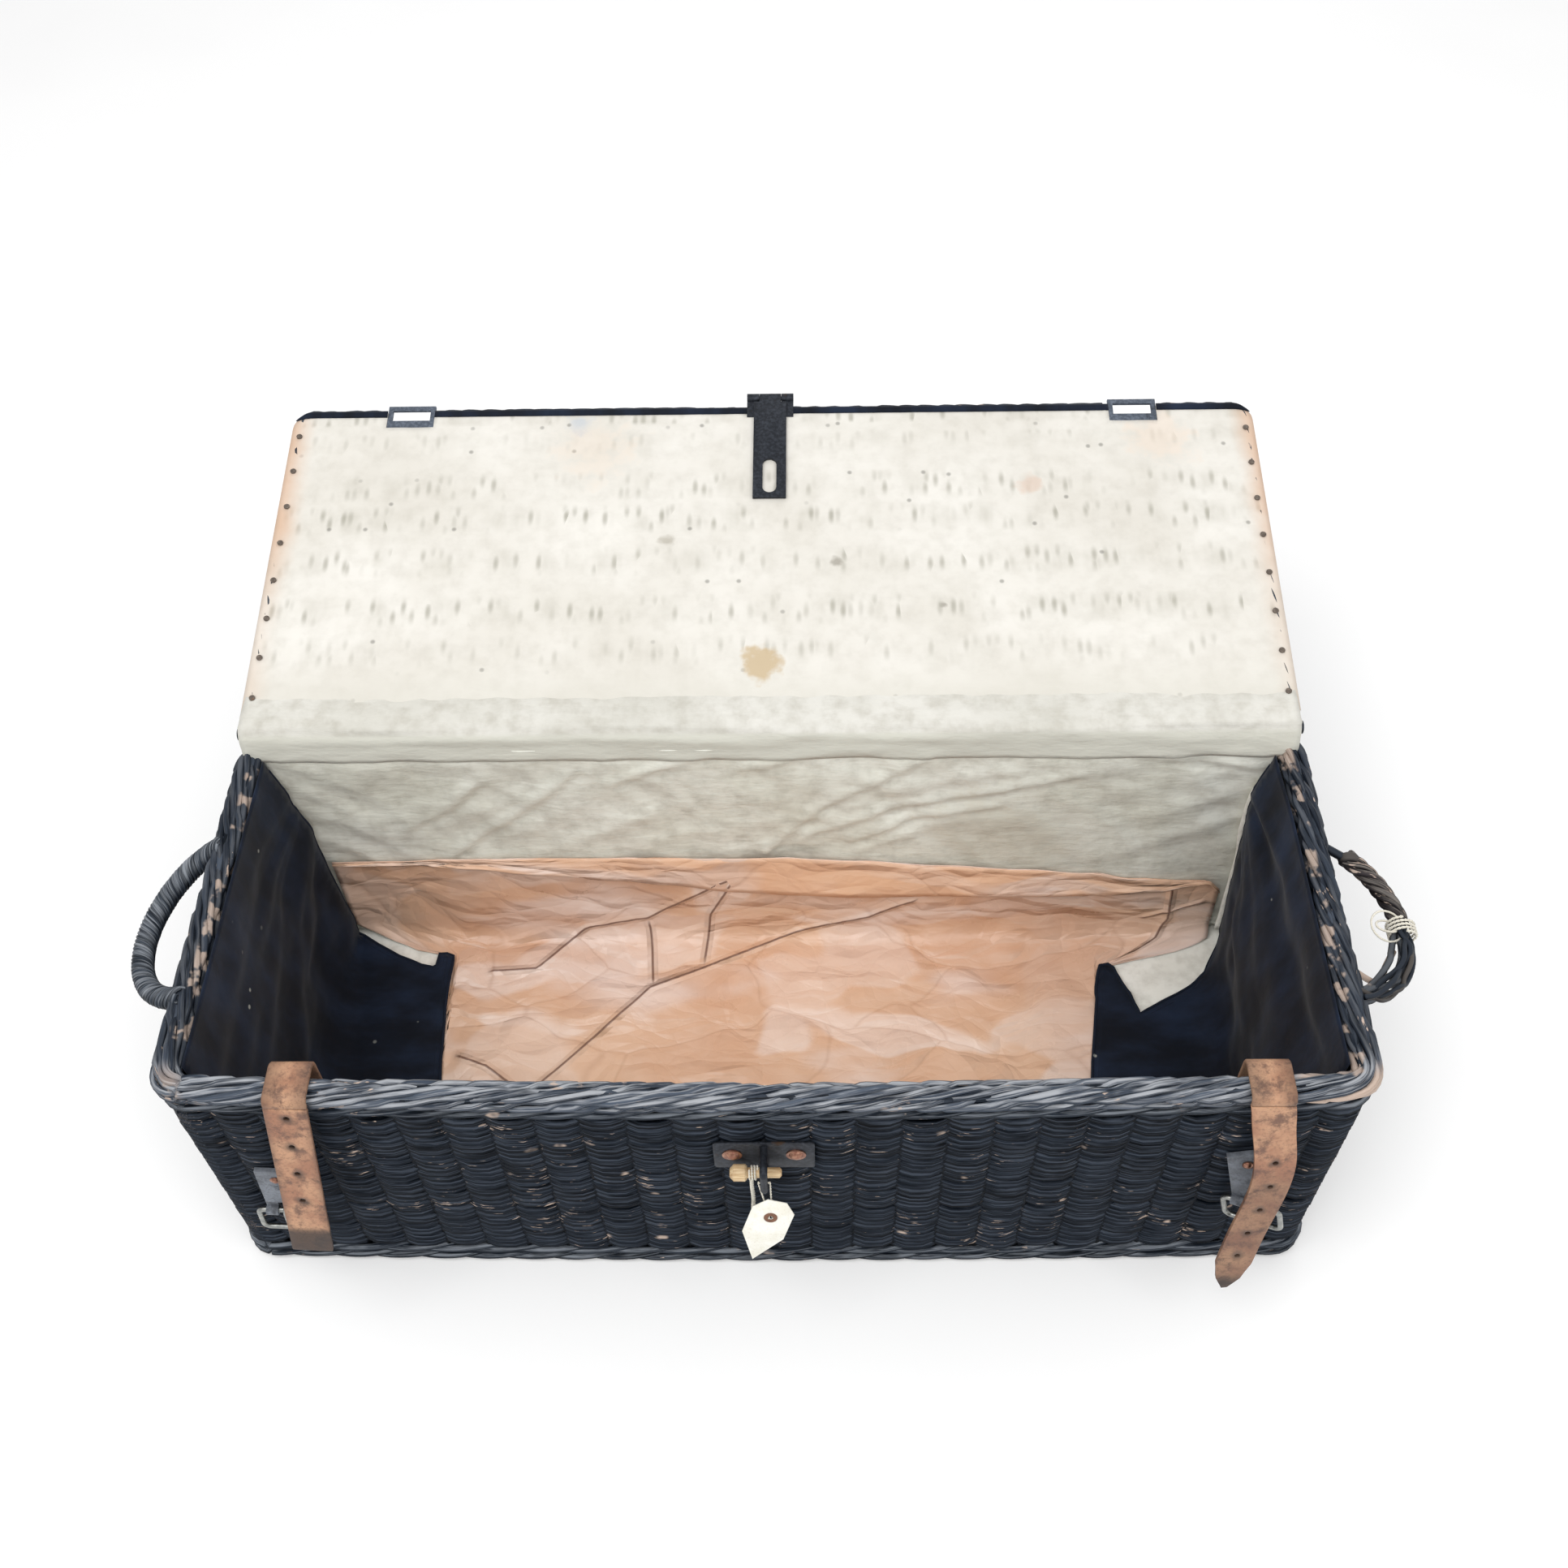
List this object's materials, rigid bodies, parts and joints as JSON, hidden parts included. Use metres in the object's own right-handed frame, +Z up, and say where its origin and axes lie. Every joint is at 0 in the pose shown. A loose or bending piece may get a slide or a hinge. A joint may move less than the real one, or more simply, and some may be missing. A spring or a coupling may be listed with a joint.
{
  "type": "wicker trunk",
  "caption": "Woven willow storage trunk with a lined hinged lid, hasp and staple, leather straps with buckles, rope handles and cloth inner flaps.",
  "frame": {"origin": "centre of the base where it stands on the floor", "axes": "+X to the right along the length, seen from the front; +Y to the back, where the lid is hinged; +Z up"},
  "size_m": [1.0112, 0.7378, 0.3748],
  "materials": {
    "painted_willow": "painted dark blue-black, worn to the bare willow on high spots",
    "dark_iron": "dark wrought iron with light rust",
    "grey_iron": "dull grey, tarnished",
    "copper": "tarnished copper brown",
    "tan_leather": "worn vegetable-tanned leather, stained at the ends",
    "grey_leather": "dried grey leather",
    "pale_wood": "bare turned wood, oiled by handling",
    "white_string": "undyed cotton string",
    "tag_card": "matt cream card",
    "fibre": "brown pressed fibre",
    "cream_canvas": "aged cream canvas with stains",
    "black_cloth": "dull black lining cloth",
    "kraft_paper": "creased brown paper, slight sheen"
  },
  "bodies": {
    "trunk": {"base_panel": "painted_willow", "border_back": "painted_willow", "border_front": "painted_willow", "border_left": "painted_willow", "border_right": "painted_willow", "chape_left": "grey_leather", "chape_right": "grey_leather", "chape_rivets": "copper", "corner_post_back_left": "painted_willow", "corner_post_back_right": "painted_willow", "corner_post_front_left": "painted_willow", "corner_post_front_right": "painted_willow", "flap_left": "black_cloth", "flap_right": "black_cloth", "foot_border": "painted_willow", "handle_left": "painted_willow", "handle_right": "painted_willow", "handle_tie": "white_string", "hinge_loops": "dark_iron", "lining_back": "cream_canvas", "lining_floor": "cream_canvas", "lining_front": "cream_canvas", "paper_liner": "kraft_paper", "plate_rivets": "copper", "staple": "grey_iron", "staple_plate": "dark_iron", "strap_anchor_left": "tan_leather", "strap_anchor_right": "tan_leather", "strap_rivets": "copper", "wall_back": "painted_willow", "wall_front": "painted_willow", "wall_left": "painted_willow", "wall_right": "painted_willow"},
    "lid": {"lid_rod": "painted_willow", "lid_panel": "painted_willow", "lid_edge_front": "painted_willow", "lid_edge_left": "painted_willow", "lid_edge_right": "painted_willow", "lid_lining": "cream_canvas", "lining_tacks": "dark_iron", "strap_loop_left": "dark_iron", "strap_loop_right": "dark_iron", "hasp_leaf": "dark_iron", "hasp_pin": "dark_iron"},
    "hasp": {"hasp": "dark_iron"},
    "peg": {"peg": "pale_wood", "peg_tie": "white_string", "peg_cord": "white_string"},
    "tag": {"tag": "tag_card", "tag_eyelet": "fibre", "tag_string": "white_string"},
    "strap_tail_left": {"strap_tail_left": "tan_leather"},
    "strap_tail_right": {"strap_tail_right": "tan_leather"},
    "buckle_left": {"buckle_left": "grey_iron"},
    "buckle_right": {"buckle_right": "grey_iron"},
    "prong_left": {"prong_left": "grey_iron"},
    "prong_right": {"prong_right": "grey_iron"}
  },
  "joints": [
    {"name": "lid_hinge", "type": "hinge", "parent": "trunk", "child": "lid", "pos_m": [0, 0.161, 0.2995], "axis": [1, 0, 0], "range_deg": [0, 168.9]},
    {"name": "hasp_hinge", "type": "hinge", "parent": "lid", "child": "hasp", "pos_m": [0, 0.5071, 0.37026], "axis": [-1, 0, 0], "range_deg": [0, 250]},
    {"name": "strap_left_hinge", "type": "hinge", "parent": "trunk", "child": "strap_tail_left", "pos_m": [-0.342, -0.1806, 0.286], "axis": [1, 0, 0], "range_deg": [-160, 0]},
    {"name": "strap_right_hinge", "type": "hinge", "parent": "trunk", "child": "strap_tail_right", "pos_m": [0.364, -0.18002, 0.286], "axis": [1, 0, 0], "range_deg": [-160, 0]},
    {"name": "buckle_left_hinge", "type": "hinge", "parent": "trunk", "child": "buckle_left", "pos_m": [-0.38558, -0.17826, 0.11024], "axis": [0.9962, 0, -0.0872], "range_deg": [-60, 0]},
    {"name": "buckle_right_hinge", "type": "hinge", "parent": "trunk", "child": "buckle_right", "pos_m": [0.37515, -0.18728, 0.13932], "axis": [0.8794, -0.4226, 0.2193], "range_deg": [-20, 0]},
    {"name": "prong_left_hinge", "type": "hinge", "parent": "buckle_left", "child": "prong_left", "pos_m": [-0.38558, -0.17826, 0.11024], "axis": [0.9962, 0, -0.0872], "range_deg": [-45, 0]},
    {"name": "prong_right_hinge", "type": "hinge", "parent": "buckle_right", "child": "prong_right", "pos_m": [0.37515, -0.18728, 0.13932], "axis": [0.8794, -0.4226, 0.2193], "range_deg": [-20, 0]},
    {"name": "peg_slide", "type": "slide", "parent": "trunk", "child": "peg", "axis": [1, 0, 0], "range_m": [-0.03, 0]},
    {"name": "tag_swing", "type": "hinge", "parent": "trunk", "child": "tag", "pos_m": [0, -0.1945, 0.19], "axis": [0, 1, 0], "range_deg": [-45, 45]}
  ]
}
